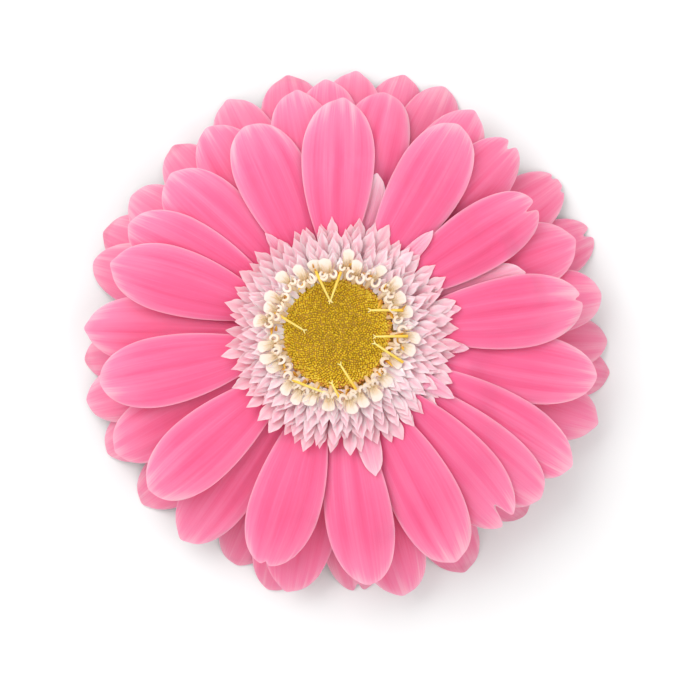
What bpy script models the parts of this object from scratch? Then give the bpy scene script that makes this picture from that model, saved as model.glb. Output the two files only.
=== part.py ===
"""A cut gerbera bloom, lying face up on its stub of scape and the tips of its outer ray florets.

The scape swells into the receptacle, a cup of bracts wraps its underside, three whorls of ray
florets spring from its flank, and the trans florets and disc florets stand on its top.
Lengths here are millimetres; MM turns them into metres where a mesh is made.
"""

import math
import random

import bpy
import numpy as np

MM = 0.001
GAP = 0.3  # clearance between neighbouring pieces

# The plan centre that every floret springs from. The bloom is wider on one side, so its
# bounding box, and with it the origin, lies a little off this axis.
AXIS_X, AXIS_Y = -2.0, 0.2

# Scape and receptacle, grown as one piece
SCAPE_RADIUS = 3.3
SCAPE_LENGTH = 3.0
RECEPTACLE_RADIUS = 10.2
RECEPTACLE_FLANK = 11.2  # height where the upright flank starts
RECEPTACLE_TOP = 17.0
HEAD_BASE = RECEPTACLE_TOP + GAP

# Ray florets
ROOT_RADIUS = RECEPTACLE_RADIUS + 0.4
THICKNESS = 0.5
WIDTH = 13.2
CLAW_SHARE = 0.12  # width at the root, as a share of the full width
WIDEST = 0.68  # share of the length where a floret is widest
CAMBER = 1.0  # how far the edges hang below the midline
SIDE_BOW = 0.6  # the most that a floret curves to one side
TWIST = 0.5  # the most that one edge of a tip stands above its middle
ROWS, COLUMNS = 9, 4  # faces along and across one floret

# Each whorl's height at the root, the rise that its florets set out with, their height at the
# tip and how much that differs between them. Then each floret's direction in degrees and its
# reach from the axis, in the order in which they overlap, lowest first.
WHORLS = {
    "outer": (
        12.4, 3.2, -0.2, 0.0,
        (
            (21, 53.0), (351, 53.0), (316, 50.5), (246, 48.5), (221, 49.5), (186, 48.5),
            (156, 48.5), (132, 47.5), (101, 50.0), (75, 51.0), (275, 50.0), (34, 52.0),
            (358, 52.0), (299, 52.0), (256, 51.0), (207, 49.5), (196, 49.5), (164, 48.5),
            (146, 47.0), (115, 49.0), (86, 50.0), (66, 51.5),
        ),
    ),
    "middle": (
        13.7, 6.7, 6.3, 0.7,
        (
            (8, 51.0), (58, 49.5), (92, 48.0), (122, 46.0), (179, 47.5), (208, 47.5),
            (234, 49.0), (285, 51.5), (341, 52.5), (260, 50.0), (100, 46.5), (78, 46.5),
            (47, 49.5), (21, 48.5),
        ),
    ),
    "inner": (
        15.0, 9.2, 12.8, 0.7,
        (
            (350, 50.0), (330, 51.0), (321, 49.5), (312, 48.5), (298, 48.5), (278, 48.0),
            (137, 43.0), (113, 42.5), (152, 44.0), (163, 44.0), (192, 45.5), (221, 46.0),
            (253, 46.0), (89, 44.0), (59, 45.5), (33, 45.0), (7, 47.0),
        ),
    ),
}

# Trans florets: the ring of short florets round the disc, a little off the axis
TRANS_SHIFT_X, TRANS_SHIFT_Y = 1.0, -0.7
TRANS_RADIUS = 22.0
TRANS_TEETH = 36
TRANS_TOOTH = 1.1
TRANS_ROOT = 8.8
TRANS_RIM_HEIGHT = 18.4
TRANS_RIM = 0.9  # thickness at the teeth

# Involucre: two cups of overlapping bracts, each with a toothed rim
BRACTS = 20
BRACT_THICKNESS = 0.7

COLOURS = {
    # slot: base colour, roughness
    "ray_pink": ((0.90, 0.17, 0.36), 0.55),
    "trans_pink": ((0.93, 0.55, 0.66), 0.55),
    "disc_white": ((0.93, 0.82, 0.74), 0.5),
    "disc_olive": ((0.42, 0.32, 0.03), 0.6),
    "bract_green": ((0.16, 0.27, 0.06), 0.65),
    "scape_green": ((0.26, 0.38, 0.10), 0.55),
}

# The relief holds the highest surface laid so far over each cell of a square. A floret is laid
# on it at these stations along and across its blade.
CELL = 0.5
HALF_SIDE = 62.0
STATIONS = np.linspace(0, 1, 81)
ACROSS = np.linspace(-1, 1, 33)
SETTLING_SWEEPS = 60


def clear_scene():
    for obj in list(bpy.data.objects):
        bpy.data.objects.remove(obj)


def material(slot):
    found = bpy.data.materials.get(slot)
    if found:
        return found
    colour, roughness = COLOURS[slot]
    made = bpy.data.materials.new(slot)
    made.use_nodes = True
    shader = made.node_tree.nodes["Principled BSDF"]
    shader.inputs["Base Color"].default_value = (*colour, 1)
    shader.inputs["Roughness"].default_value = roughness
    return made


def add_mesh(name, slot, points, edges=(), faces=()):
    """An object from points in mm, shaded smooth."""
    mesh = bpy.data.meshes.new(name)
    mesh.from_pydata([tuple(c * MM for c in point) for point in points], edges, faces)
    mesh.materials.append(material(slot))
    mesh.shade_smooth()
    mesh.set_sharp_from_angle(angle=math.radians(50))
    obj = bpy.data.objects.new(name, mesh)
    bpy.context.scene.collection.objects.link(obj)
    return obj


def thicken(obj, thickness):
    solidify = obj.modifiers.new("Thickness", "SOLIDIFY")
    solidify.thickness = thickness * MM
    solidify.offset = 0


def turned(name, slot, profile):
    """A body of revolution about the axis, from (radius, height) run down its outer side."""
    last = len(profile) - 1
    edges = [(place, place + 1) for place in range(last)]
    hollow = profile[0][0] > 0
    if hollow:
        edges.append((last, 0))
    obj = add_mesh(name, slot, [(radius, 0, height) for radius, height in profile], edges)
    screw = obj.modifiers.new("Turn", "SCREW")
    screw.steps = screw.render_steps = 40
    screw.use_merge_vertices = True
    screw.merge_threshold = 0.00001
    obj.location = (AXIS_X * MM, AXIS_Y * MM, 0)


def around_axis(radius, angle, height):
    return AXIS_X + radius * math.cos(angle), AXIS_Y + radius * math.sin(angle), height


# ---- Ray florets ----


def make_florets():
    """Every ray floret as a dict of its own sizes, lowest first."""
    draw = random.Random(12)
    florets = []
    for whorl, (root, rise, tip, tip_spread, placed) in WHORLS.items():
        for number, (direction, reach) in enumerate(placed, 1):
            florets.append(
                {
                    "name": f"ray_floret_{whorl}_{number:02d}",
                    "direction": math.radians(direction),
                    "reach": reach,
                    "half_width": WIDTH / 2 * draw.uniform(0.95, 1.05),
                    "root": root,
                    "rise": rise * draw.uniform(0.85, 1.15),
                    "tip": tip + draw.uniform(-tip_spread, tip_spread),
                    "camber": CAMBER * draw.uniform(0.7, 1.3),
                    "bow": draw.uniform(-SIDE_BOW, SIDE_BOW),
                    "twist": draw.uniform(-TWIST, TWIST),
                    # How far its left and right edges are lifted at each station
                    "left": np.zeros(len(STATIONS)),
                    "right": np.zeros(len(STATIONS)),
                }
            )
    return florets


def floret_surface(floret, u, v):
    """A floret's middle surface. u runs from root to tip, and v from -1 to 1 across."""
    blade = np.clip(u / WIDEST, 0, 1)
    end = np.clip((u - WIDEST) / (1 - WIDEST), 0, 1)
    width = CLAW_SHARE + (1 - CLAW_SHARE) * np.sin(blade * math.pi / 2)
    # Past its widest, the blade ends in half an ellipse.
    across = floret["half_width"] * v * width * np.sqrt(1 - end**2 / 2)
    share = WIDEST * blade + (1 - WIDEST) * end * np.sqrt(1 - v**2 / 2)
    across = across + floret["bow"] * 4 * share * (1 - share)
    along = ROOT_RADIUS + (floret["reach"] - ROOT_RADIUS) * share
    cos, sin = math.cos(floret["direction"]), math.sin(floret["direction"])
    x = AXIS_X + along * cos - across * sin
    y = AXIS_Y + along * sin + across * cos
    droop = floret["tip"] - floret["root"] - floret["rise"]
    spine = floret["root"] + floret["rise"] * share + droop * share**2
    arch = floret["camber"] * v**2 * width**2
    left = np.interp(u, STATIONS, floret["left"]) * (1 - v) / 2
    right = np.interp(u, STATIONS, floret["right"]) * (1 + v) / 2
    z = spine - arch + floret["twist"] * v * share + left + right
    return x, y, np.maximum(z, THICKNESS / 2)


def cells(x, y):
    return ((x + HALF_SIDE) / CELL).astype(int), ((y + HALF_SIDE) / CELL).astype(int)


def highest_near(relief, x, y, reach):
    """The relief's highest value within so many cells of each point."""
    column, row = cells(x, y)
    found = np.full(np.shape(x), -math.inf)
    for right in range(-reach, reach + 1):
        for up in range(-reach, reach + 1):
            found = np.maximum(found, relief[column + right, row + up])
    return found


def smoothed(lift, reach=5):
    """A gentle curve nowhere below lift: its moving maximum, averaged over the same reach."""
    window = 2 * reach + 1
    padded = np.pad(lift, reach, mode="edge")
    widened = np.lib.stride_tricks.sliding_window_view(padded, window).max(axis=1)
    weights = np.hanning(window + 2)[1:-1]
    padded = np.pad(widened, reach, mode="edge")
    return np.convolve(padded, weights / weights.sum(), mode="valid")


def settle(floret, relief):
    """Lifts a floret's edges until it lies clear on those below it, and adds it to the relief."""
    u, v = np.meshgrid(STATIONS, ACROSS, indexing="ij")
    x, y, z = floret_surface(floret, u, v)
    short = highest_near(relief, x, y, reach=1) + GAP + THICKNESS / 2 - z
    left, right = (1 - ACROSS) / 2, (1 + ACROSS) / 2
    every_station = np.arange(len(STATIONS))
    for _ in range(SETTLING_SWEEPS):
        still_short = short - np.outer(floret["left"], left) - np.outer(floret["right"], right)
        worst = still_short.argmax(axis=1)
        amount = still_short[every_station, worst].clip(0)
        step = amount / (left[worst] ** 2 + right[worst] ** 2)
        floret["left"] += step * left[worst]
        floret["right"] += step * right[worst]
    floret["left"] = smoothed(floret["left"])
    floret["right"] = smoothed(floret["right"])
    x, y, z = floret_surface(floret, u, v)
    np.maximum.at(relief, cells(x, y), z + THICKNESS / 2)


def build_floret(floret):
    """One ray floret: its blade as a grid, thickened both ways."""
    along = np.linspace(0, 1, ROWS + 1)
    across = np.linspace(-1, 1, COLUMNS + 1)
    u, v = np.meshgrid(along, across, indexing="ij")
    points = np.stack(floret_surface(floret, u, v), axis=-1).reshape(-1, 3)
    row = COLUMNS + 1
    corners = [i * row + j for i in range(ROWS) for j in range(COLUMNS)]
    faces = [(c, c + row, c + row + 1, c + 1) for c in corners]
    obj = add_mesh(floret["name"], "ray_pink", points, faces=faces)
    thicken(obj, THICKNESS)


# ---- Head ----


def build_scape():
    """The stub of scape, swelling into the receptacle."""
    turned(
        "scape_and_receptacle",
        "scape_green",
        (
            (0, RECEPTACLE_TOP),
            (RECEPTACLE_RADIUS - 0.8, RECEPTACLE_TOP),
            (RECEPTACLE_RADIUS, RECEPTACLE_TOP - 0.7),
            (RECEPTACLE_RADIUS, RECEPTACLE_FLANK),
            (8.9, 9.3),
            (6.6, 7.0),
            (4.5, 5.2),
            (3.5, 3.9),
            (SCAPE_RADIUS, SCAPE_LENGTH),
            (SCAPE_RADIUS, 0),
            (0, 0),
        ),
    )


def build_bracts(name, profile, turn):
    """A cup of bracts: a sheet round the axis, from (radius, height), whose rim is toothed.

    Each bract takes three of its points round the axis, and turn shifts the cup by as many.
    """
    around = BRACTS * 3
    rings = len(profile)
    (inner_radius, inner_height), (tip_radius, tip_height) = profile[-2:]
    points = []
    for step in range(around):
        angle = 2 * math.pi * (step + turn) / around
        points += [around_axis(radius, angle, height) for radius, height in profile[:-1]]
        share = 1.0 if step % 3 == 0 else 0.45
        radius = inner_radius + (tip_radius - inner_radius) * share
        height = inner_height + (tip_height - inner_height) * share
        points.append(around_axis(radius, angle, height))
    faces = []
    for step in range(around):
        here = step * rings
        after = (step + 1) % around * rings
        faces += [(here + p, after + p, after + p + 1, here + p + 1) for p in range(rings - 1)]
    obj = add_mesh(name, "bract_green", points, faces=faces)
    thicken(obj, BRACT_THICKNESS)


def build_involucre():
    build_bracts(
        "involucre_inner_bracts",
        ((5.4, 4.9), (7.4, 6.5), (9.9, 9.0), (11.2, 10.7), (15.2, 11.2)),
        turn=0,
    )
    build_bracts(
        "involucre_outer_bracts",
        ((5.3, 3.2), (6.9, 4.7), (8.7, 6.2), (11.1, 8.6), (14.3, 10.3)),
        turn=1.5,
    )


def build_trans_ring(relief):
    """The trans florets: a ring that leans out over the ray florets, with a toothed edge."""
    around = TRANS_TEETH * 2
    points = []
    for step in range(around):
        angle = 2 * math.pi * step / around
        edge = TRANS_RADIUS - TRANS_TOOTH * (step % 2)
        edge += TRANS_SHIFT_X * math.cos(angle) + TRANS_SHIFT_Y * math.sin(angle)
        under = np.append(TRANS_ROOT, np.linspace(RECEPTACLE_RADIUS, edge - 0.4, 6))
        x, y, _ = around_axis(under, angle, 0)
        bare = np.interp(under, (TRANS_ROOT, TRANS_RADIUS), (HEAD_BASE, TRANS_RIM_HEIGHT))
        height = np.maximum(bare, highest_near(relief, x, y, reach=3) + GAP)
        height[0] = HEAD_BASE
        section = list(zip(under, height, strict=True))
        section += [(edge, height[-1] + TRANS_RIM), (18.0, 22.0), (14.6, 23.4), (13.4, 23.0)]
        points += [around_axis(radius, angle, level) for radius, level in section]
    ring = len(section)
    faces = []
    for step in range(around):
        here = step * ring
        after = (step + 1) % around * ring
        for place in range(ring):
            beyond = (place + 1) % ring
            faces.append((here + place, after + place, after + beyond, here + beyond))
    add_mesh("trans_florets", "trans_pink", points, faces=faces)


def build_disc():
    """The open disc florets, a ring that leans outward, and the unopened buds inside it."""
    turned(
        "open_disc_florets",
        "disc_white",
        ((11.9, 24.0), (12.9, 22.8), (8.3, HEAD_BASE), (6.7, HEAD_BASE), (10.6, 20.8), (10.9, 23.2)),
    )
    turned(
        "disc_buds",
        "disc_olive",
        ((0, 21.3), (5.0, 21.1), (8.6, 20.8), (9.85, 20.5), (6.2, HEAD_BASE), (0, HEAD_BASE)),
    )


def main():
    clear_scene()
    side = int(2 * HALF_SIDE / CELL)
    relief = np.full((side, side), -math.inf)
    for floret in make_florets():
        settle(floret, relief)
        build_floret(floret)
    build_scape()
    build_involucre()
    build_trans_ring(relief)
    build_disc()


main()
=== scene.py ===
"""Looks of a cut gerbera bloom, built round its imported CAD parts.

Every floret is laid on those below it by the same rules as the CAD florets, so the fine petals
take the places that the plain ones hold. Lengths here are millimetres; MM turns them into metres
where a mesh is made.
"""

import math
import random

import bpy
import numpy as np
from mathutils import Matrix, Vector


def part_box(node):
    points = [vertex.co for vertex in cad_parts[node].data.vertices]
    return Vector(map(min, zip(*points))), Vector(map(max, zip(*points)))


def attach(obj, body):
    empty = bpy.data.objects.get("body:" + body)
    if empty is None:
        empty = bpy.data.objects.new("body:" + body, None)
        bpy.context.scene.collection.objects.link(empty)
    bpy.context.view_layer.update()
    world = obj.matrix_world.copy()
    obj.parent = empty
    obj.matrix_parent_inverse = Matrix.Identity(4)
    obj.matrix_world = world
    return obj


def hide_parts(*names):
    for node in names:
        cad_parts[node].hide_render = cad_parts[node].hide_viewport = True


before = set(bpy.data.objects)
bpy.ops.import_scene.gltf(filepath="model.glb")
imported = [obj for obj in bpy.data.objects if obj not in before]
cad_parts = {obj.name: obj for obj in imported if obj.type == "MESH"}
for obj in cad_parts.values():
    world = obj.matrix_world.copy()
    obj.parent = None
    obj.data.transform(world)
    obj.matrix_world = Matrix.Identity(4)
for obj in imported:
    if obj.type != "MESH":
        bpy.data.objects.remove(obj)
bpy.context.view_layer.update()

MM = 0.001
UP = (0, 0, 1)


def node_box(node):
    low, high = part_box(node)
    return np.array(low) / MM, np.array(high) / MM


# The axis that every floret springs from, and the heights of the head, from the CAD parts
SCAPE_LOW, SCAPE_HIGH = node_box("scape_and_receptacle")
AXIS = (SCAPE_LOW + SCAPE_HIGH)[:2] / 2
RECEPTACLE_RADIUS = (SCAPE_HIGH - SCAPE_LOW)[0] / 2
RECEPTACLE_TOP = SCAPE_HIGH[2]
RING_LOW, RING_HIGH = node_box("trans_florets")
RING_CENTRE = (RING_LOW + RING_HIGH)[:2] / 2 - AXIS
RING_RADIUS = (RING_HIGH - RING_LOW)[:2].mean() / 2
BUDS_HIGH = node_box("disc_buds")[1]
DISC_RADIUS = BUDS_HIGH[0] - AXIS[0]
DISC_TOP = BUDS_HIGH[2]
OPEN_TOP = node_box("open_disc_florets")[1][2]

# Ray florets: the rules that place the CAD florets
ROOT_RADIUS = RECEPTACLE_RADIUS + 0.4
GAP = 0.3
ENVELOPE = 0.5  # the CAD florets' thickness, kept clear round each fine one
WIDTH = 13.2
CLAW_SHARE = 0.12
WIDEST = 0.68
CAMBER = 1.0
SIDE_BOW = 0.6
TWIST = 0.5
WHORLS = {
    # whorl: height at the root, rise that a floret sets out with, height at the tip, its spread
    "outer": (RECEPTACLE_TOP - 4.6, 3.2, -0.2, 0.0),
    "middle": (RECEPTACLE_TOP - 3.3, 6.7, 6.3, 0.7),
    "inner": (RECEPTACLE_TOP - 2.0, 9.2, 12.8, 0.7),
}

# Fine shape of the ray florets
PETAL_THICKNESS = 0.32
TIP_FULLNESS = 2.15  # exponent of the outline's rounded end, where 2 is half an ellipse
NOTCHES = {
    # node: (place across, depth, width across) of each notch in its tip
    "ray_floret_inner_17": ((0.15, 1.3, 0.10),),
    "ray_floret_inner_16": ((-0.1, 2.4, 0.12),),
    "ray_floret_inner_13": ((0.0, 0.8, 0.10),),
    "ray_floret_inner_04": ((0.1, 4.5, 0.16),),
    "ray_floret_middle_13": ((0.0, 1.6, 0.14),),
    "ray_floret_outer_01": ((0.1, 1.8, 0.14),),
    "ray_floret_outer_12": ((-0.35, 0.7, 0.08), (0.3, 0.8, 0.08)),
    "ray_floret_outer_11": ((0.0, 1.5, 0.14),),
}

# Short ray florets: direction, reach and width of those under the inner whorl, and of those on it
LOW_SHORT_FLORETS = ((75, 30.5, 6.0), (18, 37.0, 7.0), (331, 28.5, 5.0), (48, 28.5, 4.5))
HIGH_SHORT_FLORETS = (
    (46, 26.0, 3.0), (286, 27.5, 4.6), (353, 25.0, 2.6), (11, 23.8, 2.6), (125, 22.5, 2.4), (331, 25.0, 3.0),
)

# Rows of trans florets, outermost and lowest first: reach, how many, width, height at the tip
TRANS_ROWS = (
    (1.00, 52, 2.5, 19.4),
    (0.93, 50, 2.4, 20.1),
    (0.87, 48, 2.3, 20.7),
    (0.81, 46, 2.2, 21.2),
    (0.75, 44, 2.1, 21.6),
    (0.69, 42, 1.9, 21.9),
    (0.63, 38, 1.8, 22.1),
)

# Anther tubes: direction and radius where each leaves its corolla, then those of its tip
ANTHERS = (
    (108, 12.0, 100, 6.0), (85, 11.3, 98, 6.2), (18, 13.3, 32, 7.8), (357, 13.5, 354, 7.6),
    (336, 13.8, 344, 7.7), (162, 12.0, 176, 6.0), (290, 11.6, 279, 6.2), (274, 12.6, 266, 9.6),
    (228, 12.0, 257, 11.4),
)
OPEN_FLORETS = 27

BUDS = 2000
GOLDEN_ANGLE = math.pi * (3 - math.sqrt(5))

# Relief: the highest surface laid so far over each cell of a square
CELL = 0.25
HALF_SIDE = 62.0
SETTLING_SWEEPS = 60


# ---- Meshes ----


def quad_grid(rows, columns):
    """Faces of a grid of points, (rows + 1) by (columns + 1), facing dP/drow x dP/dcolumn."""
    row = columns + 1
    start = (np.arange(rows)[:, None] * row + np.arange(columns)).ravel()
    return np.stack([start, start + row, start + row + 1, start + 1], axis=1)


def grid_outline(rows, columns):
    """The points round such a grid, in the same sense as its faces."""
    row = columns + 1
    first = np.arange(0, rows) * row
    far = rows * row + np.arange(0, columns)
    back = np.arange(rows, 0, -1) * row + columns
    near = np.arange(columns, 0, -1)
    return np.concatenate([first, far, back, near])


def thick_sheet(middle, thickness):
    """Points and faces of a closed sheet: middle is a grid of points, thickness one number each.

    Returns them with each face's material, 0 above and round the rim and 1 below.
    """
    rows, columns = middle.shape[0] - 1, middle.shape[1] - 1
    normal = np.cross(np.gradient(middle, axis=0), np.gradient(middle, axis=1))
    normal /= np.linalg.norm(normal, axis=2, keepdims=True) + 1e-9
    offset = normal * (thickness / 2)[..., None]
    count = middle.shape[0] * middle.shape[1]
    points = np.concatenate([(middle + offset).reshape(-1, 3), (middle - offset).reshape(-1, 3)])
    above = quad_grid(rows, columns)
    below = above[:, ::-1] + count
    rim = grid_outline(rows, columns)
    after = np.roll(rim, -1)
    side = np.stack([rim, rim + count, after + count, after], axis=1)
    faces = np.concatenate([above, below, side])
    materials = np.concatenate([np.zeros(len(above)), np.ones(len(below)), np.zeros(len(side))])
    return points, faces, materials.astype(int)


def joined(name, sheets, materials):
    """One mesh from many sheets, each (points, faces, face materials, uv, values)."""
    points, faces, kinds, uvs, values = [], [], [], [], {}
    count = 0
    for sheet_points, sheet_faces, sheet_kinds, uv, numbers in sheets:
        points.append(sheet_points)
        faces += [tuple(int(corner) + count for corner in face) for face in sheet_faces]
        kinds.append(sheet_kinds)
        uvs.append(uv)
        for key, row in numbers.items():
            values.setdefault(key, []).append(row)
        count += len(sheet_points)
    mesh = bpy.data.meshes.new(name)
    mesh.from_pydata((np.concatenate(points) * MM).tolist(), [], faces)
    for made in materials:
        mesh.materials.append(made)
    mesh.polygons.foreach_set("material_index", np.concatenate(kinds).astype(np.int32))
    mesh.shade_smooth()
    mesh.set_sharp_from_angle(angle=math.radians(55))
    corners = np.empty(len(mesh.loops), np.int32)
    mesh.loops.foreach_get("vertex_index", corners)
    blade = mesh.uv_layers.new(name="Blade")
    blade.data.foreach_set("uv", np.concatenate(uvs)[corners].ravel())
    for key, rows in values.items():
        attribute = mesh.attributes.new(key, "FLOAT", "POINT")
        attribute.data.foreach_set("value", np.concatenate(rows).astype(np.float32))
    obj = bpy.data.objects.new(name, mesh)
    bpy.context.scene.collection.objects.link(obj)
    return obj


def hand_in(obj, slot, *nodes):
    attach(obj, "root")
    if nodes:
        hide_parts(*nodes)


# ---- Materials ----


class Graph:
    """A material's nodes, made one line at a time."""

    def __init__(self, name, **shader):
        self.material = bpy.data.materials.new(name)
        self.material.use_nodes = True
        self.nodes = self.material.node_tree.nodes
        self.links = self.material.node_tree.links
        self.shader = self.nodes["Principled BSDF"]
        for key, value in shader.items():
            words = key.replace("_", " ").title().replace("Ior", "IOR")
            self.shader.inputs[words].default_value = value

    def add(self, kind, inputs=None, **settings):
        made = self.nodes.new("ShaderNode" + kind)
        for key, value in settings.items():
            setattr(made, key, value)
        for key, value in (inputs or {}).items():
            self.plug(value, made.inputs[key])
        return made.outputs

    def plug(self, value, socket):
        if isinstance(value, bpy.types.NodeSocket):
            self.links.new(value, socket)
        else:
            socket.default_value = value

    def math(self, operation, first, second=0.0, clamp=False):
        return self.add("Math", {0: first, 1: second}, operation=operation, use_clamp=clamp)[0]

    def mix(self, factor, first, second, blend="MIX"):
        inputs = {"Factor": factor, 6: first, 7: second}
        return self.add("Mix", inputs, data_type="RGBA", blend_type=blend)[2]

    def ramp(self, value, *stops):
        """A colour ramp from (place, colour) pairs."""
        outputs = self.add("ValToRGB", {"Fac": value})
        elements = outputs[0].node.color_ramp.elements
        for _ in stops[2:]:
            elements.new(0.5)
        for element, (place, colour) in zip(elements, stops, strict=True):
            element.position = place
            element.color = (*colour, 1)
        return outputs[0]

    def noise(self, vector, scale, detail=2.0, roughness=0.5):
        inputs = {"Vector": vector, "Scale": scale, "Detail": detail, "Roughness": roughness}
        return self.add("TexNoise", inputs)[0]

    def blade(self, across, along):
        """The blade's own coordinates, stretched by these amounts."""
        uv = self.add("UVMap", uv_map="Blade")[0]
        return self.add("Mapping", {"Vector": uv, "Scale": (across, along, 1)})[0]

    def value(self, name):
        return self.add("Attribute", attribute_name=name)[2]

    def bump(self, height, strength, distance):
        inputs = {"Height": height, "Strength": strength, "Distance": distance * MM}
        self.links.new(self.add("Bump", inputs)[0], self.shader.inputs["Normal"])

    def colour(self, socket):
        self.links.new(socket, self.shader.inputs["Base Color"])

    def rough(self, value, low, high):
        inputs = {"Value": value, 3: low, 4: high}
        self.links.new(self.add("MapRange", inputs)[0], self.shader.inputs["Roughness"])


def petal_material(name, deep, middle, pale, tip):
    """Ray floret: satin pink, fine veins, darker along the furrows as painted shade, and pale at the rim."""
    graph = Graph(name, subsurface_weight=0.3, specular_ior_level=0.3, sheen_weight=0.1)
    graph.shader.inputs["Subsurface Radius"].default_value = (1.2, 0.35, 0.5)
    graph.shader.inputs["Subsurface Scale"].default_value = 0.7 * MM
    graph.shader.inputs["Sheen Roughness"].default_value = 0.4
    place = graph.add("TexCoord")["Object"]
    veins = graph.noise(graph.blade(34, 1.6), 1.0, 3.0, 0.6)
    broad = graph.noise(graph.blade(7, 0.9), 1.0, 2.0)
    drift = graph.noise(place, 45.0, 2.0)
    tone = graph.math("ADD", graph.math("MULTIPLY", veins, 0.32), graph.math("MULTIPLY", broad, 0.5))
    tone = graph.math("ADD", tone, graph.math("MULTIPLY", drift, 0.3))
    # Painted shade: the tone drops along the furrows, where shade falls in the creases.
    tone = graph.math("SUBTRACT", tone, graph.math("MULTIPLY", graph.value("furrow"), 0.17))
    tone = graph.math("ADD", tone, graph.math("MULTIPLY", graph.value("paleness"), 0.34))
    colour = graph.ramp(tone, (0.22, deep), (0.5, middle), (0.8, pale), (1.0, tip))
    rim = graph.math("POWER", graph.value("rim"), 22.0, clamp=True)
    colour = graph.mix(graph.math("MULTIPLY", rim, 0.6), colour, (*tip, 1))
    graph.colour(colour)
    graph.rough(veins, 0.46, 0.62)
    cells = graph.noise(graph.blade(160, 260), 1.0, 1.0)
    height = graph.math("ADD", graph.math("MULTIPLY", veins, 1.0), graph.math("MULTIPLY", cells, 0.12))
    graph.bump(height, 0.5, 0.10)
    return graph.material


def under_material(name, deep, pale):
    """The under side of a ray floret: paler, with greenish-grey raised veins."""
    graph = Graph(name, subsurface_weight=0.15, specular_ior_level=0.25, roughness=0.6)
    graph.shader.inputs["Subsurface Radius"].default_value = (1.2, 0.5, 0.6)
    graph.shader.inputs["Subsurface Scale"].default_value = 0.7 * MM
    veins = graph.noise(graph.blade(22, 0.8), 1.0, 3.0, 0.6)
    drift = graph.noise(graph.add("TexCoord")["Object"], 60.0)
    tone = graph.math("ADD", graph.math("MULTIPLY", veins, 0.7), graph.math("MULTIPLY", drift, 0.3))
    graph.colour(graph.ramp(tone, (0.3, deep), (0.7, pale)))
    graph.rough(veins, 0.5, 0.7)
    graph.bump(veins, 0.6, 0.12)
    return graph.material


def trans_material():
    """Trans floret: pale pink, whiter towards the root, deeper pink just short of the tip."""
    graph = Graph("trans_pink", subsurface_weight=0.4, specular_ior_level=0.3, sheen_weight=0.1)
    graph.shader.inputs["Subsurface Radius"].default_value = (1.0, 0.5, 0.55)
    graph.shader.inputs["Subsurface Scale"].default_value = 0.5 * MM
    veins = graph.noise(graph.blade(9, 2.0), 1.0, 2.0)
    tone = graph.math("ADD", graph.math("MULTIPLY", veins, 0.45), graph.math("MULTIPLY", graph.value("tone"), 0.55))
    # Painted shade: the tone drops down the groove, where shade falls.
    tone = graph.math("SUBTRACT", tone, graph.math("MULTIPLY", graph.value("furrow"), 0.22))
    colour = graph.ramp(
        tone,
        (0.1, (0.93, 0.40, 0.50)),
        (0.4, (0.97, 0.55, 0.62)),
        (0.65, (0.97, 0.70, 0.74)),
        (0.95, (0.97, 0.86, 0.83)),
    )
    graph.colour(colour)
    graph.rough(veins, 0.45, 0.62)
    graph.bump(veins, 0.4, 0.08)
    return graph.material


def corolla_material():
    """Open disc corolla: cream white, faintly green in the tube."""
    graph = Graph("corolla_cream", subsurface_weight=0.3, specular_ior_level=0.35)
    graph.shader.inputs["Subsurface Radius"].default_value = (1.0, 0.8, 0.6)
    graph.shader.inputs["Subsurface Scale"].default_value = 0.5 * MM
    cloud = graph.noise(graph.add("TexCoord")["Object"], 900.0, 2.0)
    colour = graph.ramp(
        graph.math("ADD", graph.math("MULTIPLY", graph.value("tone"), 0.7), graph.math("MULTIPLY", cloud, 0.3)),
        (0.15, (0.50, 0.30, 0.08)),
        (0.4, (0.86, 0.62, 0.36)),
        (0.8, (0.96, 0.80, 0.70)),
    )
    graph.colour(colour)
    graph.rough(cloud, 0.35, 0.55)
    graph.bump(cloud, 0.3, 0.05)
    return graph.material


def grain_material(name, scale, rough, bump, *stops):
    """A material whose colour runs through its stops by the mesh's own tone and a little noise."""
    graph = Graph(name, subsurface_weight=0.1, specular_ior_level=0.35)
    graph.shader.inputs["Subsurface Scale"].default_value = 0.3 * MM
    cloud = graph.noise(graph.add("TexCoord")["Object"], scale, 3.0)
    tone = graph.math("ADD", graph.math("MULTIPLY", graph.value("tone"), 0.75), graph.math("MULTIPLY", cloud, 0.25))
    graph.colour(graph.ramp(tone, *stops))
    graph.rough(cloud, *rough)
    graph.bump(cloud, 0.4, bump)
    return graph.material


def green_material(name, deep, middle, pale, stripes):
    """Scape and bracts: green with long pale stripes and soft mottling."""
    graph = Graph(name, subsurface_weight=0.1, specular_ior_level=0.3, sheen_weight=0.25)
    graph.shader.inputs["Subsurface Radius"].default_value = (0.4, 0.7, 0.2)
    graph.shader.inputs["Subsurface Scale"].default_value = 0.5 * MM
    lines = graph.noise(graph.blade(stripes, 1.5), 1.0, 3.0, 0.6)
    mottle = graph.noise(graph.add("TexCoord")["Object"], 700.0, 3.0)
    tone = graph.math("ADD", graph.math("MULTIPLY", lines, 0.6), graph.math("MULTIPLY", mottle, 0.4))
    graph.colour(graph.ramp(tone, (0.3, deep), (0.5, middle), (0.72, pale)))
    graph.rough(mottle, 0.5, 0.7)
    graph.bump(tone, 0.5, 0.12)
    return graph.material


# ---- Ray florets ----


def petal(direction, reach, **sizes):
    """A floret's own sizes. Those of a ray floret hold unless others are given."""
    made = {
        "direction": direction,
        "reach": reach,
        "centre": AXIS,
        "root_radius": ROOT_RADIUS,
        "claw": CLAW_SHARE,
        "widest": WIDEST,
        "fullness": 2.0,
        "floor": ENVELOPE / 2,
        "left": None,
        "right": None,
    }
    made.update(sizes)
    return made


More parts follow.
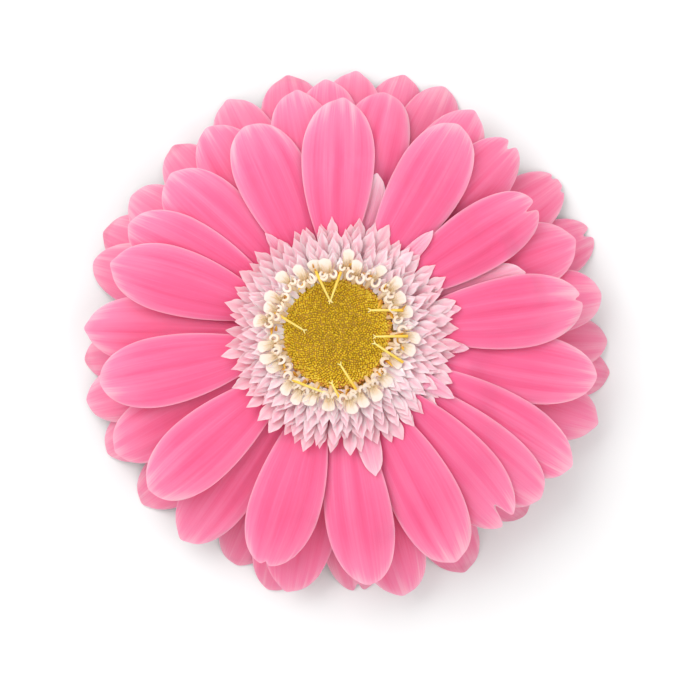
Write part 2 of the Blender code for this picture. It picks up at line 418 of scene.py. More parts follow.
def make_ray_florets():
    """The CAD's ray florets, lowest first. Each one's direction and reach come from its node."""
    draw = random.Random(12)
    florets = []
    for whorl, (root, rise, tip, tip_spread) in WHORLS.items():
        for name in sorted(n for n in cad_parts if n.startswith(f"ray_floret_{whorl}")):
            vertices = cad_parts[name].data.vertices
            plan = np.array([vertex.co[:2] for vertex in vertices]) / MM - AXIS
            far = plan[np.hypot(*plan.T).argmax()]
            florets.append(
                petal(
                    math.atan2(far[1], far[0]),
                    math.hypot(*far),
                    name=name,
                    whorl=whorl,
                    half_width=WIDTH / 2 * draw.uniform(0.95, 1.05),
                    root=root,
                    rise=rise * draw.uniform(0.85, 1.15),
                    tip=tip + draw.uniform(-tip_spread, tip_spread),
                    camber=CAMBER * draw.uniform(0.7, 1.3),
                    bow=draw.uniform(-SIDE_BOW, SIDE_BOW),
                    twist=draw.uniform(-TWIST, TWIST),
                )
            )
    return florets


def floret_surface(floret, u, v):
    """A floret's middle surface. u runs from root to tip, and v from -1 to 1 across."""
    widest = floret["widest"]
    blade = np.clip(u / widest, 0, 1)
    end = np.clip((u - widest) / (1 - widest), 0, 1)
    width = floret["claw"] + (1 - floret["claw"]) * np.sin(blade * math.pi / 2)
    # Past its widest, the blade ends in half an ellipse, or in a fuller or more pointed one.
    side, front = v * np.sqrt(1 - end**2 / 2), end * np.sqrt(1 - v**2 / 2)
    power = floret["fullness"]
    turn = np.arctan2(front, np.abs(side))
    swell = (np.cos(turn) ** power + np.sin(turn) ** power) ** (-1 / power)
    swell = 1 + (swell - 1) * end
    side, front = side * swell, front * swell
    for place, depth, breadth in floret.get("notches", ()):
        length = floret["reach"] - floret["root_radius"]
        cut = depth / length / (1 - widest)
        front = front - cut * np.exp(-(((v - place) / breadth) ** 2)) * end**4
    across = floret["half_width"] * side * width
    share = widest * blade + (1 - widest) * front
    across = across + floret["bow"] * 4 * share * (1 - share)
    along = floret["root_radius"] + (floret["reach"] - floret["root_radius"]) * share
    cos, sin = math.cos(floret["direction"]), math.sin(floret["direction"])
    x = floret["centre"][0] + along * cos - across * sin
    y = floret["centre"][1] + along * sin + across * cos
    droop = floret["tip"] - floret["root"] - floret["rise"]
    spine = floret["root"] + floret["rise"] * share + droop * share**2
    z = spine - floret["camber"] * v**2 * width**2 + floret["twist"] * v * share
    if floret["left"] is not None:
        stations = np.linspace(0, 1, len(floret["left"]))
        z = z + np.interp(u, stations, floret["left"]) * (1 - v) / 2
        z = z + np.interp(u, stations, floret["right"]) * (1 + v) / 2
    return x, y, np.maximum(z, floret["floor"])


def cells(x, y):
    return ((x + HALF_SIDE) / CELL).astype(int), ((y + HALF_SIDE) / CELL).astype(int)


def highest_near(relief, x, y, reach):
    """The relief's highest value within so many cells of each point."""
    column, row = cells(x, y)
    found = np.full(np.shape(x), -math.inf)
    for right in range(-reach, reach + 1):
        for up in range(-reach, reach + 1):
            found = np.maximum(found, relief[column + right, row + up])
    return found


def smoothed(lift, reach):
    """A gentle curve nowhere below lift: its moving maximum, averaged over the same reach."""
    window = 2 * reach + 1
    padded = np.pad(lift, reach, mode="edge")
    widened = np.lib.stride_tricks.sliding_window_view(padded, window).max(axis=1)
    weights = np.hanning(window + 2)[1:-1]
    padded = np.pad(widened, reach, mode="edge")
    return np.convolve(padded, weights / weights.sum(), mode="valid")


def settle(
    floret, below, relief, along=81, across=33, envelope=ENVELOPE, gap=GAP, near=2, reach=5, most=math.inf
):
    """Lifts a floret's edges until it lies clear of what is below, and adds it to the relief."""
    u, v = np.meshgrid(np.linspace(0, 1, along), np.linspace(-1, 1, across), indexing="ij")
    x, y, z = floret_surface(floret, u, v)
    short = highest_near(below, x, y, near) + gap + envelope / 2 - z
    left, right = (1 - v[0]) / 2, (1 + v[0]) / 2
    lift_left, lift_right = np.zeros(along), np.zeros(along)
    every_station = np.arange(along)
    for _ in range(SETTLING_SWEEPS):
        still_short = short - np.outer(lift_left, left) - np.outer(lift_right, right)
        worst = still_short.argmax(axis=1)
        amount = still_short[every_station, worst].clip(0)
        step = amount / (left[worst] ** 2 + right[worst] ** 2)
        lift_left += step * left[worst]
        lift_right += step * right[worst]
    floret["left"] = smoothed(lift_left, reach).clip(0, most)
    floret["right"] = smoothed(lift_right, reach).clip(0, most)
    u, v = np.meshgrid(np.linspace(0, 1, 2 * along), np.linspace(-1, 1, 2 * across), indexing="ij")
    x, y, z = floret_surface(floret, u, v)
    np.maximum.at(relief, cells(x, y), z + envelope / 2)


def wave(draw, count, low, high):
    """A smooth random function of one number, between about -1 and 1."""
    parts = [(draw.uniform(low, high), draw.uniform(0, 2 * math.pi)) for _ in range(count)]
    return lambda t: sum(np.sin(speed * t + phase) for speed, phase in parts) / count


def fine_sheet(floret, draw, rows=72, columns=30, thickness=PETAL_THICKNESS):
    """A ray floret's fine sheet: furrows, a lifted rim, a wavy edge and its notches."""
    u, v = np.meshgrid(np.linspace(0, 1, rows + 1), np.linspace(-1, 1, columns + 1), indexing="ij")
    shaped = dict(floret)
    shaped["fullness"] = TIP_FULLNESS * draw.uniform(0.92, 1.08)
    shaped["notches"] = NOTCHES.get(floret["name"], ((draw.uniform(-0.2, 0.2), -draw.uniform(0.15, 0.6), 0.24),))
    middle = np.stack(floret_surface(shaped, u, v), axis=-1)
    end = np.clip((u - floret["widest"]) / (1 - floret["widest"]), 0, 1)
    length = np.clip(u * 1.15, 0, 1)
    blade = np.sin(np.clip(u * 1.35, 0, 1) * math.pi / 2) * (1 - end**3)
    furrow = np.zeros_like(u)
    for place in (-0.52, 0.02, 0.5):
        centre = place + draw.uniform(-0.1, 0.1)
        breadth = draw.uniform(0.09, 0.17)
        depth = draw.uniform(0.45, 1.0)
        reach = 1 - end ** draw.uniform(2, 6) * draw.uniform(0.6, 1.0)
        furrow += depth * np.exp(-(((v - centre) / breadth) ** 2)) * reach
    furrow *= blade
    rim = np.maximum(np.abs(v), end)
    ripple = wave(draw, 3, 4, 11)
    sway = wave(draw, 3, 2, 5)
    middle[..., 2] -= 0.20 * furrow
    middle[..., 2] += 0.16 * np.clip((rim - 0.75) / 0.25, 0, 1) ** 2 * length
    middle[..., 2] += 0.10 * ripple(u * 4 + v) * np.abs(v) ** 3 * length
    middle[..., 2] += 0.12 * sway(u * 3 + 1.5 * v) * length
    middle[..., 2] = np.maximum(middle[..., 2], thickness / 2)
    thin = thickness * (1 - 0.62 * rim**6)
    points, faces, kinds = thick_sheet(middle, thin)
    uv = np.stack([(v + 1) / 2 + draw.uniform(0, 9), u + draw.uniform(0, 9)], axis=-1).reshape(-1, 2)
    paleness = 0.85 * end**1.5 + 0.25 * np.abs(v) ** 4 + 0.35 * (u - 0.6)
    # The furrow value also lowers the petal's colour in its material: painted shade in the creases.
    values = {"furrow": furrow.ravel(), "rim": rim.ravel(), "paleness": paleness.ravel()}
    return points, faces, kinds, np.tile(uv, (2, 1)), {k: np.tile(n, 2) for k, n in values.items()}


def build_ray_florets(relief):
    """Settles every ray floret and makes its fine sheet in place of its CAD node."""
    # Painted shade: the three whorls take copies of one pink, darker on the outer whorl and lighter on the inner one,
    # standing in for the shade on the lower whorls.
    pinks = {
        "outer": petal_material(
            "ray_pink_outer", (0.76, 0.075, 0.19), (0.88, 0.13, 0.28), (0.91, 0.23, 0.38), (0.94, 0.42, 0.53)
        ),
        "middle": petal_material(
            "ray_pink_middle", (0.80, 0.075, 0.20), (0.90, 0.125, 0.28), (0.93, 0.22, 0.39), (0.95, 0.44, 0.55)
        ),
        "inner": petal_material(
            "ray_pink_inner", (0.83, 0.075, 0.21), (0.91, 0.125, 0.29), (0.93, 0.225, 0.40), (0.96, 0.47, 0.57)
        ),
    }
    under = under_material("ray_under", (0.74, 0.28, 0.38), (0.88, 0.52, 0.58))
    draw = random.Random(5)
    short = petal_material(
        "short_pink", (0.82, 0.15, 0.30), (0.90, 0.28, 0.42), (0.93, 0.42, 0.54), (0.95, 0.58, 0.66)
    )
    florets = make_ray_florets()
    first_inner = next(floret for floret in florets if floret["whorl"] == "inner")
    for floret in florets:
        if floret is first_inner:
            build_short_florets("low", LOW_SHORT_FLORETS, relief, short, under)
        settle(floret, relief, relief)
        sheet = fine_sheet(floret, draw)
        obj = joined(f"{floret['name']}_petal", [sheet], [pinks[floret["whorl"]], under])
        hand_in(obj, "ray_pink", floret["name"])
    build_short_florets("high", HIGH_SHORT_FLORETS, relief, short, under)


def build_short_florets(layer, sizes, relief, material, under):
    """The few short florets that show between the long ones and the trans florets."""
    draw = random.Random(21)
    for number, (direction, reach, width) in enumerate(sizes, 1):
        floret = petal(
            math.radians(direction),
            reach,
            name=f"short_floret_{layer}_{number}",
            half_width=width / 2,
            root=RECEPTACLE_TOP - 1.2,
            rise=draw.uniform(5, 7),
            tip=RECEPTACLE_TOP + draw.uniform(0, 1.5),
            camber=0.35,
            bow=draw.uniform(-0.3, 0.3),
            twist=draw.uniform(-0.4, 0.4),
            claw=0.3,
            widest=0.6,
        )
        settle(floret, relief, relief, envelope=0.3, gap=0.15, near=1)
        sheet = fine_sheet(floret, draw, rows=36, columns=16, thickness=0.24)
        obj = joined(floret["name"], [sheet], [material, under])
        hand_in(obj, "ray_pink", "trans_florets")


# ---- Trans florets ----


def build_trans_florets(relief):
    """Rows of short pointed florets, each row lying on the one outside it."""
    material = trans_material()
    draw = random.Random(33)
    for number, (share, count, width, tip) in enumerate(TRANS_ROWS, 1):
        sheets = []
        below = relief.copy()
        for place in range(count):
            direction = 2 * math.pi * (place + draw.uniform(-0.25, 0.25) + 0.5 * (number % 2)) / count
            reach = RING_RADIUS * share + draw.uniform(-0.9, 0.9)
            floret = petal(
                direction,
                reach,
                centre=AXIS + RING_CENTRE * share,
                root_radius=max(10.3, reach - 6.5),
                half_width=width / 2 * draw.uniform(0.8, 1.1),
                root=tip - 2.2,
                rise=3.0,
                tip=tip + 0.3 * (place % 2) + draw.uniform(-0.35, 0.35),
                camber=draw.uniform(-0.35, 0.15),
                bow=draw.uniform(-0.3, 0.3),
                twist=draw.uniform(-0.6, 0.6),
                claw=0.45,
                widest=0.62,
                fullness=draw.uniform(0.95, 1.25),
            )
            settle(floret, below, relief, 31, 9, envelope=0.16, gap=0.0, near=0, reach=1, most=1.7)
            sheets.append(trans_sheet(floret, draw, number))
        obj = joined(f"trans_florets_row_{number}", sheets, [material])
        hand_in(obj, "trans_pink", "trans_florets")


def trans_sheet(floret, draw, row, rows=16, columns=6):
    """One trans floret: a narrow strap with a groove down its middle and a pointed tip."""
    u, v = np.meshgrid(np.linspace(0, 1, rows + 1), np.linspace(-1, 1, columns + 1), indexing="ij")
    middle = np.stack(floret_surface(floret, u, v), axis=-1)
    groove = np.exp(-((v / 0.35) ** 2)) * np.clip(u * 2, 0, 1)
    middle[..., 2] -= 0.07 * groove
    rim = np.maximum(np.abs(v), np.clip((u - 0.7) / 0.3, 0, 1))
    points, faces, kinds = thick_sheet(middle, 0.14 * (1 - 0.5 * rim**4))
    uv = np.stack([(v + 1) / 2 + draw.uniform(0, 9), u + draw.uniform(0, 9)], axis=-1).reshape(-1, 2)
    whiteness = 0.2 + 0.11 * row + draw.uniform(-0.1, 0.15) + 0.2 * rim
    # The groove value also darkens the colour in the material, as painted shade.
    values = {"furrow": groove.ravel(), "tone": whiteness.ravel()}
    kinds = np.zeros_like(kinds)
    return points, faces, kinds, np.tile(uv, (2, 1)), {k: np.tile(n, 2) for k, n in values.items()}


# ---- Disc ----


def around_axis(direction, radius, height):
    return np.array(
        [AXIS[0] + radius * math.cos(direction), AXIS[1] + radius * math.sin(direction), height]
    )


def tube(path, radii, sides=8):
    """Points and faces of a closed round tube along a path."""
    path = np.asarray(path, float)
    along = np.gradient(path, axis=0)
    along /= np.linalg.norm(along, axis=1, keepdims=True)
    helper = np.array([0.31, 0.17, 0.93])
    side = np.cross(along, helper)
    side /= np.linalg.norm(side, axis=1, keepdims=True)
    other = np.cross(along, side)
    angle = np.linspace(0, 2 * math.pi, sides, endpoint=False)
    ring = side[:, None] * np.cos(angle)[None, :, None] + other[:, None] * np.sin(angle)[None, :, None]
    points = path[:, None] + ring * np.asarray(radii)[:, None, None]
    points = np.concatenate([points.reshape(-1, 3), path[:1], path[-1:]])
    faces = []
    for i in range(len(path) - 1):
        for j in range(sides):
            here, after = i * sides + j, i * sides + (j + 1) % sides
            faces.append((here, after, after + sides, here + sides))
    start, finish = len(points) - 2, len(points) - 1
    last = (len(path) - 1) * sides
    for j in range(sides):
        faces.append((start, (j + 1) % sides, j, start))
        faces.append((finish, last + j, last + (j + 1) % sides, finish))
    faces = [tuple(dict.fromkeys(face)) for face in faces]
    return points, faces


def tube_sheet(path, radii, tone, sides=8):
    """A tube as joined() takes it. tone holds one number for each point of the path."""
    points, faces = tube(path, radii, sides)
    tones = np.concatenate([np.repeat(tone, sides), tone[:1], tone[-1:]])
    return points, faces, np.zeros(len(faces), int), np.zeros((len(points), 2)), {"tone": tones}


def joined_tubes(name, tubes, material):
    return joined(name, tubes, [material])


def strap_sheet(path, across, width, thickness, tone):
    """A flat strap along a path. across holds its sideways direction at each point."""
    path, across = np.asarray(path, float), np.asarray(across, float)
    place = np.linspace(-1, 1, 4)
    middle = path[:, None] + across[:, None] * place[None, :, None] * np.asarray(width)[:, None, None] / 2
    points, faces, kinds = thick_sheet(middle, np.full(middle.shape[:2], thickness))
    tones = np.tile(np.repeat(tone, len(place)), 2)
    return points, faces, np.zeros_like(kinds), np.zeros((len(points), 2)), {"tone": tones}


def build_open_florets():
    """Open disc florets: a corolla tube, a long outer lip, and two inner lobes rolled in spirals."""
    corolla = corolla_material()
    draw = random.Random(8)
    sheets, bristles = [], []
    for number in range(OPEN_FLORETS):
        direction = 2 * math.pi * (number + draw.uniform(-0.3, 0.3)) / OPEN_FLORETS
        mouth_radius = draw.uniform(10.9, 12.7)
        mouth_height = draw.uniform(22.0, 22.9)
        root = around_axis(direction, 9.2, RECEPTACLE_TOP + 0.3)
        mouth = around_axis(direction, mouth_radius, mouth_height)
        steps = np.linspace(0, 1, 9)
        path = root + (mouth - root) * steps[:, None]
        path[:, 2] += 0.8 * np.sin(steps * math.pi)
        sheets.append(tube_sheet(path, 0.35 + 0.4 * steps**2, 0.2 + 0.5 * steps))
        outward = np.array([math.cos(direction), math.sin(direction), 0.0])
        sideways = np.array([-math.sin(direction), math.cos(direction), 0.0])
        sheets.append(outer_lip(mouth, outward, sideways, draw))
        for hand in (-1, 1):
            sheets.append(rolled_lobe(mouth, outward, sideways * hand, draw))
        for _ in range(34):
            bristles.append(bristle(mouth, outward, sideways, draw))
    obj = joined("open_disc_corollas", sheets, [corolla])
    hand_in(obj, "disc_white", "open_disc_florets")
    tan = grain_material(
        "pappus_tan", 400.0, (0.5, 0.7), 0.02,
        (0.1, (0.46, 0.22, 0.05)), (0.5, (0.82, 0.58, 0.30)), (0.9, (0.96, 0.84, 0.68)),
    )
    obj = joined("pappus_bristles", bristles, [tan])
    hand_in(obj, "disc_white", "open_disc_florets")


def outer_lip(mouth, outward, sideways, draw):
    """The long lip that lies outward over the trans florets, widening from the mouth to a blunt end."""
    steps = np.linspace(0, 1, 10)
    length = draw.uniform(2.6, 3.6)
    lean = draw.uniform(-0.25, 0.25)
    path = mouth + np.outer(steps * length, outward + lean * sideways)
    path[:, 2] += 0.45 * np.sin(steps * math.pi * 0.7) - 0.2
    width = draw.uniform(2.1, 2.9) * (0.4 + 0.6 * np.sin(steps * math.pi / 2)) * np.sqrt(1.03 - steps**9)
    across = np.tile(sideways, (len(steps), 1))
    return strap_sheet(path, across, width, 0.12, 0.55 + 0.45 * steps)


def rolled_lobe(mouth, outward, sideways, draw):
    """A narrow lobe that leans over the eye and rolls back on itself like a ram's horn."""
    steps = np.linspace(0, 1, 24)
    angle = steps * draw.uniform(1.15, 1.75) * math.pi
    size = draw.uniform(0.6, 1.0) * (1 - 0.35 * steps)
    tilt = draw.uniform(0.1, 0.7)
    ahead = -outward * math.cos(tilt) + np.array(UP) * math.sin(tilt)
    start = mouth + sideways * draw.uniform(0.15, 0.4) + np.array(UP) * 0.2
    path = start + np.outer(size * np.sin(angle) * 1.3, ahead) + np.outer(size * (1 - np.cos(angle)), sideways)
    axle = np.cross(ahead, sideways)
    width = 0.75 * (1 - 0.4 * steps)
    return strap_sheet(path, np.tile(axle, (len(steps), 1)), width, 0.45, 0.6 + 0.4 * steps)


def bristle(mouth, outward, sideways, draw):
    """One hair of a floret's pappus, fanning out round its mouth."""
    start = mouth - outward * 0.7 + sideways * draw.uniform(-0.6, 0.6) - np.array(UP) * 0.4
    reach = outward * draw.uniform(1.0, 3.2) + sideways * draw.uniform(-1.3, 1.3)
    steps = np.linspace(0, 1, 5)
    path = start + np.outer(steps, reach)
    path[:, 2] += draw.uniform(0.5, 1.1) * np.sin(steps * math.pi * 0.6)
    return tube_sheet(path, 0.065 - 0.035 * steps, draw.uniform(0.0, 0.3) + 0.7 * steps, sides=3)


def build_anthers():
    """Yellow anther tubes that lean in over the eye, and short orange ones among the corollas."""
    draw = random.Random(4)
    yellow = grain_material(
        "anther_yellow", 1500.0, (0.4, 0.6), 0.05,
        (0.1, (0.78, 0.34, 0.02)), (0.45, (0.90, 0.58, 0.06)), (0.8, (0.95, 0.78, 0.22)), (1.0, (0.97, 0.88, 0.50)),
    )
    tubes = []
    steps = np.linspace(0, 1, 12)
    for out_direction, out_radius, in_direction, in_radius in ANTHERS:
        start = around_axis(math.radians(out_direction), out_radius, draw.uniform(22.6, 23.0))
        tip = around_axis(math.radians(in_direction), in_radius, draw.uniform(22.6, 23.3))
        path = start + (tip - start) * steps[:, None]
        path[:, 2] += 0.5 * np.sin(steps * math.pi)
        radii = 0.30 * (1 - 0.35 * steps) * np.where(steps > 0.97, 0.6, 1)
        tubes.append(tube_sheet(path, radii, 0.35 + 0.6 * steps))
        # The style's two short arms stand out of the tube's end.
        along = (tip - start) / np.linalg.norm(tip - start)
        sideways = np.cross(along, UP)
        for hand in (-1, 1):
            arm = tip + np.outer(np.linspace(0, 0.55, 5), along + hand * 0.7 * sideways)
            tubes.append(tube_sheet(arm, np.linspace(0.13, 0.08, 5), np.full(5, 1.0), sides=6))
    hand_in(joined_tubes("anther_tubes", tubes, yellow), "disc_white", "open_disc_florets")
    orange = grain_material(
        "anther_orange", 1500.0, (0.5, 0.7), 0.08,
        (0.1, (0.42, 0.15, 0.02)), (0.5, (0.76, 0.36, 0.03)), (0.9, (0.92, 0.60, 0.08)),
    )
    tubes = []
    for _ in range(44):
        direction = draw.uniform(0, 2 * math.pi)
        start = around_axis(direction, draw.uniform(10.4, 12.6), 21.8)
        lean = np.array([draw.uniform(-1, 1), draw.uniform(-1, 1), draw.uniform(0.5, 0.9)])
        tip = start + lean * draw.uniform(1.0, 2.1)
        path = start + (tip - start) * steps[:, None]
        radii = draw.uniform(0.25, 0.42) * np.sqrt(np.clip(1.05 - steps, 0.1, 1))
        tubes.append(tube_sheet(path, radii, np.linspace(0.3, 1, 12) * draw.uniform(0.3, 1)))
    hand_in(joined_tubes("withered_anthers", tubes, orange), "disc_white", "open_disc_florets")


def disc_height(radius):
    """Height of the eye's surface: a low dome, with a slight dip at its middle."""
    share = radius / DISC_RADIUS
    return DISC_TOP - 0.5 - 0.9 * share**3 - 0.25 * (1 - share) ** 2


def build_buds():
    """The eye: closed buds packed in spirals, small and olive inside, larger and browner outside."""
    draw = random.Random(17)
    sides, rings = 8, 5
    angle = np.linspace(0, 2 * math.pi, sides, endpoint=False)
    down = np.linspace(0, 1, rings)
    sheets = []
    for number in range(BUDS):
        share = math.sqrt((number + 0.5) / BUDS)
        radius = (DISC_RADIUS + 0.5) * share
        direction = number * GOLDEN_ANGLE
        size = 0.215 + 0.12 * share**8 + draw.uniform(-0.05, 0.05)
        height = disc_height(radius) + draw.uniform(-0.10, 0.14) + 0.35 * max(0, share - 0.85)
        centre = around_axis(direction + draw.uniform(-0.11, 0.11) / max(radius, 1), radius + draw.uniform(-0.11, 0.11), height)
        lean = 0.45 * share
        points = [centre + (lean * math.cos(direction) * 0.35, lean * math.sin(direction) * 0.35, 0.22)]
        for ring, fall in enumerate(down[1:], 1):
            radii = size * np.sin(fall * math.pi / 2) * (1 + 0.14 * np.cos(5 * angle / 2) * (ring < 3))
            drop = 0.22 - 0.62 * (fall**1.8)
            slide = lean * (1 - fall) * 0.35
            points += [
                centre
                + (
                    radii[j] * math.cos(angle[j]) + slide * math.cos(direction),
                    radii[j] * math.sin(angle[j]) + slide * math.sin(direction),
                    drop,
                )
                for j in range(sides)
            ]
        faces = [(0, 1 + j, 1 + (j + 1) % sides) for j in range(sides)]
        for ring in range(rings - 2):
            for j in range(sides):
                here, after = 1 + ring * sides + j, 1 + ring * sides + (j + 1) % sides
                faces.append((here, here + sides, after + sides, after))
        points = np.array(points)
        base = share ** draw.uniform(4, 8)
        # Painted light and shade: each bud is lighter on its top and darker down its sides, where shade falls between
        # the buds.
        tone = 0.30 + draw.uniform(-0.18, 0.22) + 0.15 * np.clip((points[:, 2] - height) / 0.34, -1, 1)
        tone = tone * (1 - base) + base * draw.uniform(0.72, 1.0)
        zeros = np.zeros(len(faces), int)
        sheets.append((points, faces, zeros, np.zeros((len(points), 2)), {"tone": tone}))
    olive = grain_material(
        "bud_olive", 1800.0, (0.45, 0.7), 0.04,
        (0.08, (0.32, 0.19, 0.01)),
        (0.28, (0.60, 0.38, 0.008)),
        (0.50, (0.82, 0.57, 0.022)),
        (0.64, (0.90, 0.68, 0.07)),
        (0.78, (0.72, 0.32, 0.06)),
        (0.95, (0.74, 0.33, 0.12)),
    )
    hand_in(joined("eye_buds", sheets, [olive]), "disc_olive", "disc_buds")


def build_eye_bed():
    """The dark bed under the buds and the corollas, so that no gap shows through to the inside."""
    rings, around = 24, 72
    radii = np.linspace(0.01, 12.4, rings + 1)
    angle = np.linspace(0, 2 * math.pi, around, endpoint=False)
    points = [around_axis(0, 0, disc_height(0) - 0.5)]
    faces = []
    for radius in radii[1:]:
        level = disc_height(min(radius, DISC_RADIUS)) - 0.22 - 0.4 * max(0, radius - DISC_RADIUS)
        points += [around_axis(a, radius, level) for a in angle]
    points += [around_axis(a, RECEPTACLE_RADIUS * 0.8, RECEPTACLE_TOP) for a in angle]
    points.append(around_axis(0, 0, RECEPTACLE_TOP))
    last = len(points) - 1
    for j in range(around):
        after = (j + 1) % around
        faces.append((0, 1 + j, 1 + after))
        for ring in range(rings):
            here, there = 1 + ring * around, 1 + (ring + 1) * around
            faces.append((here + j, there + j, there + after, here + after))
        faces.append((last, 1 + rings * around + after, 1 + rings * around + j))
    brown = grain_material(
        "disc_bed", 900.0, (0.6, 0.8), 0.1,
        (0.2, (0.36, 0.19, 0.02)), (0.5, (0.52, 0.30, 0.04)), (0.8, (0.60, 0.36, 0.10)),
    )
    count = len(points)
    tone = np.full(count, 0.5)
    sheet = (np.array(points), faces, np.zeros(len(faces), int), np.zeros((count, 2)), {"tone": tone})
    hand_in(joined("disc_bed", [sheet], [brown]), "disc_olive", "disc_buds")


# ---- Under side ----


def build_bracts():
    """The involucre: rows of narrow green bracts that wrap the receptacle."""
    green = green_material("bract_green", (0.06, 0.12, 0.02), (0.15, 0.26, 0.05), (0.30, 0.42, 0.14), 9)
    rows = {
        # CAD node: profile as (radius, height), how many bracts, width, turn by half a bract
        "involucre_inner_bracts": (
            ((5.4, 4.9), (7.4, 6.5), (9.9, 9.0), (11.4, 10.6), (13.2, 11.2), (15.2, 11.5)), 24, 3.3, 0.0,
        ),
        "involucre_outer_bracts": (
            ((4.6, 3.0), (6.9, 4.6), (8.7, 6.2), (11.0, 8.5), (12.8, 9.8), (14.3, 10.5)), 22, 3.1, 0.5,
        ),
    }
    draw = random.Random(29)
    for node, (profile, count, width, turn) in rows.items():
        radii, heights = np.array(profile).T
        share = np.linspace(0, 1, len(profile))
        sheets, hairs = [], []
        for place in range(count):
            direction = 2 * math.pi * (place + turn + draw.uniform(-0.12, 0.12)) / count
            under = 0.32 * (place % 2) + draw.uniform(0, 0.08)
            length = draw.uniform(0.88, 1.0)
            u, v = np.meshgrid(np.linspace(0, 1, 19), np.linspace(-1, 1, 7), indexing="ij")
            radius = np.interp(u * length, share, radii)
            height = np.interp(u * length, share, heights) - under - 0.28 * (v**2) * -1
            outline = np.sqrt(np.clip(1 - u**2.4, 0, 1)) * (0.45 + 0.55 * np.sin(np.clip(u * 2.2, 0, 1) * 1.57))
            side = v * width / 2 * outline * draw.uniform(0.9, 1.1)
            cos, sin = math.cos(direction), math.sin(direction)
            x, y = AXIS[0] + radius * cos - side * sin, AXIS[1] + radius * sin + side * cos
            middle = np.stack([x, y, height], axis=-1)
            points, faces, kinds = thick_sheet(middle, 0.34 * (1 - 0.5 * np.abs(v) ** 4))
            uv = np.stack([(v + 1) / 2 + place, u], axis=-1).reshape(-1, 2)
            sheets.append((points, faces, np.zeros_like(kinds), np.tile(uv, (2, 1)), {}))
            for _ in range(40):
                row, column = draw.randrange(2, 17), draw.randrange(1, 6)
                foot = middle[row, column] - (0, 0, 0.15)
                away = np.array([cos * 0.5, sin * 0.5, -1.0])
                away += (draw.uniform(-0.6, 0.6), draw.uniform(-0.6, 0.6), 0)
                path = foot + np.outer(np.linspace(0, draw.uniform(0.4, 0.9), 3), away)
                hairs.append(tube_sheet(path, np.array([0.03, 0.024, 0.012]), np.full(3, 0.9), sides=3))
        hand_in(joined(f"{node}_leaves", sheets, [green]), "bract_green", node)
        down = grain_material(
            f"{node}_down", 300.0, (0.6, 0.8), 0.02, (0.2, (0.55, 0.62, 0.42)), (0.9, (0.82, 0.86, 0.72)),
        )
        hand_in(joined(f"{node}_hairs", hairs, [down]), "bract_green", node)


def build_scape():
    """The ribbed stub of scape with its cut face, swelling into the receptacle."""
    low = SCAPE_LOW[2]
    stub = 3.3
    profile = (
        (0.0, low + 0.12), (1.0, low + 0.10), (2.2, low + 0.04), (stub - 0.25, low), (stub, low + 0.18),
        (stub, 1.6), (stub, 3.0), (3.5, 3.9), (4.5, 5.2), (6.6, 7.0), (8.9, 9.3),
        (RECEPTACLE_RADIUS, 11.2), (RECEPTACLE_RADIUS, RECEPTACLE_TOP - 0.7),
        (RECEPTACLE_RADIUS - 0.8, RECEPTACLE_TOP), (0.0, RECEPTACLE_TOP),
    )
    around = 96
    angle = np.linspace(0, 2 * math.pi, around, endpoint=False)
    places = np.linspace(0, len(profile) - 1, (len(profile) - 1) * 4 + 1)
    radii, heights = (np.interp(places, np.arange(len(profile)), row) for row in np.array(profile).T)
    points, faces, kinds, uv = [], [], [], []
    for step, (radius, height) in enumerate(zip(radii, heights, strict=True)):
        ribbed = radius * (1 + 0.018 * np.cos(11 * angle) * (3.0 < radius) * (height < 8))
        points.append(
            np.stack([AXIS[0] + ribbed * np.cos(angle), AXIS[1] + ribbed * np.sin(angle), np.full(around, height)], 1)
        )
        uv.append(np.stack([angle / (2 * math.pi), np.full(around, height / 20)], axis=1))
    for step in range(1, len(radii) - 2):
        for j in range(around):
            here, after = step * around + j, step * around + (j + 1) % around
            faces.append((here, after, after + around, here + around))
            kinds.append(1 if radii[step + 1] < stub - 0.1 and heights[step] < 1 else 0)
    faces.append(tuple(range(2 * around - 1, around - 1, -1)))
    kinds.append(1)
    top = (len(radii) - 2) * around
    faces.append(tuple(range(top, top + around)))
    kinds.append(0)
    green = green_material("scape_green", (0.16, 0.26, 0.06), (0.28, 0.40, 0.12), (0.44, 0.54, 0.24), 30)
    cut = grain_material(
        "scape_cut", 1400.0, (0.35, 0.6), 0.12,
        (0.3, (0.42, 0.50, 0.22)), (0.5, (0.62, 0.68, 0.40)), (0.75, (0.78, 0.80, 0.58)),
    )
    count = len(points) * around
    values = {"tone": np.full(count, 0.5)}
    sheet = (np.concatenate(points), faces, np.array(kinds), np.concatenate(uv), values)
    obj = joined("scape_and_head", [sheet], [green, cut])
    hand_in(obj, "scape_green", "scape_and_receptacle")


# ---- Stage ----


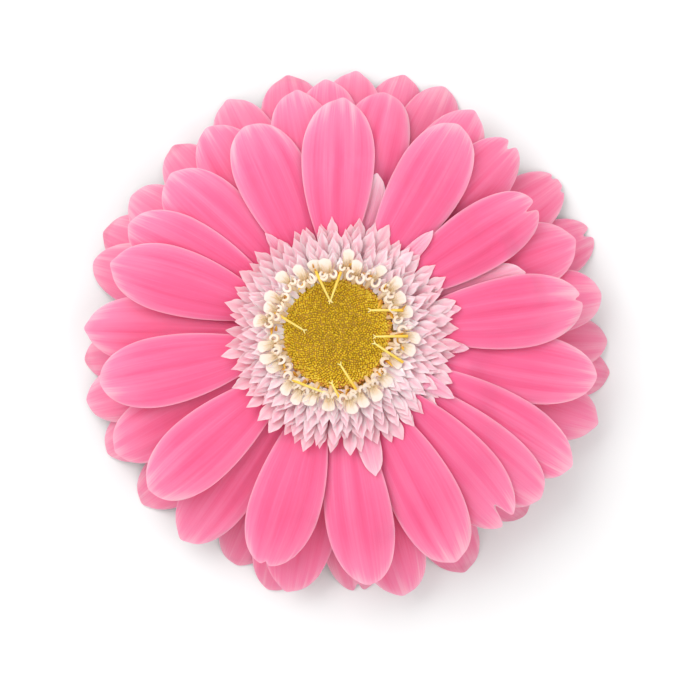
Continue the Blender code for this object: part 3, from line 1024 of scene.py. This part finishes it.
def build_floor():
    half = 3.0
    mesh = bpy.data.meshes.new("floor")
    mesh.from_pydata([(-half, -half, 0), (half, -half, 0), (half, half, 0), (-half, half, 0)], [], [(0, 1, 2, 3)])
    graph = Graph("floor_white", roughness=0.9, specular_ior_level=0.1)
    cloud = graph.noise(graph.add("TexCoord")["Object"], 6.0)
    graph.colour(graph.ramp(cloud, (0.0, (0.93, 0.93, 0.93)), (1.0, (0.96, 0.96, 0.96))))
    mesh.materials.append(graph.material)
    floor = bpy.data.objects.new("floor", mesh)
    bpy.context.scene.collection.objects.link(floor)


def area_light(name, place, size, power, colour=(1, 1, 1)):
    """A square soft light that faces the bloom. place is in metres."""
    data = bpy.data.lights.new(name, "AREA")
    data.shape = "SQUARE"
    data.size = size
    data.energy = power
    data.color = colour
    light = bpy.data.objects.new(name, data)
    light.location = place
    direction = light.location * -1
    light.rotation_euler = direction.to_track_quat("-Z", "Y").to_euler()
    bpy.context.scene.collection.objects.link(light)


def build_studio():
    world = bpy.data.worlds.new("studio")
    world.use_nodes = True
    background = world.node_tree.nodes["Background"]
    background.inputs["Color"].default_value = (1, 1, 1, 1)
    background.inputs["Strength"].default_value = 0.82
    scene = bpy.context.scene
    scene.world = world
    scene.view_settings.view_transform = "Standard"
    area_light("key", (-0.5, 0.5, 0.8), 0.9, 6.0)
    area_light("fill", (0.6, -0.3, 0.8), 0.8, 1.2)


def build_camera():
    """Straight above the bloom, with its top edge towards +Y."""
    data = bpy.data.cameras.new("camera")
    data.sensor_width = 36
    height = 0.66
    petals = 0.012  # height of the petals that the frame's width is measured at
    frame_width = 0.133
    data.lens = data.sensor_width * (height - petals) / frame_width
    data.clip_start = 0.01
    camera = bpy.data.objects.new("camera", data)
    camera.location = (0.0007, -0.0031, height)
    bpy.context.scene.collection.objects.link(camera)
    bpy.context.scene.camera = camera


def main():
    side = int(2 * HALF_SIDE / CELL)
    relief = np.full((side, side), -math.inf)
    build_floor()
    build_studio()
    build_camera()
    build_ray_florets(relief)
    build_trans_florets(relief)
    build_open_florets()
    build_anthers()
    build_buds()
    build_eye_bed()
    build_bracts()
    build_scape()


main()
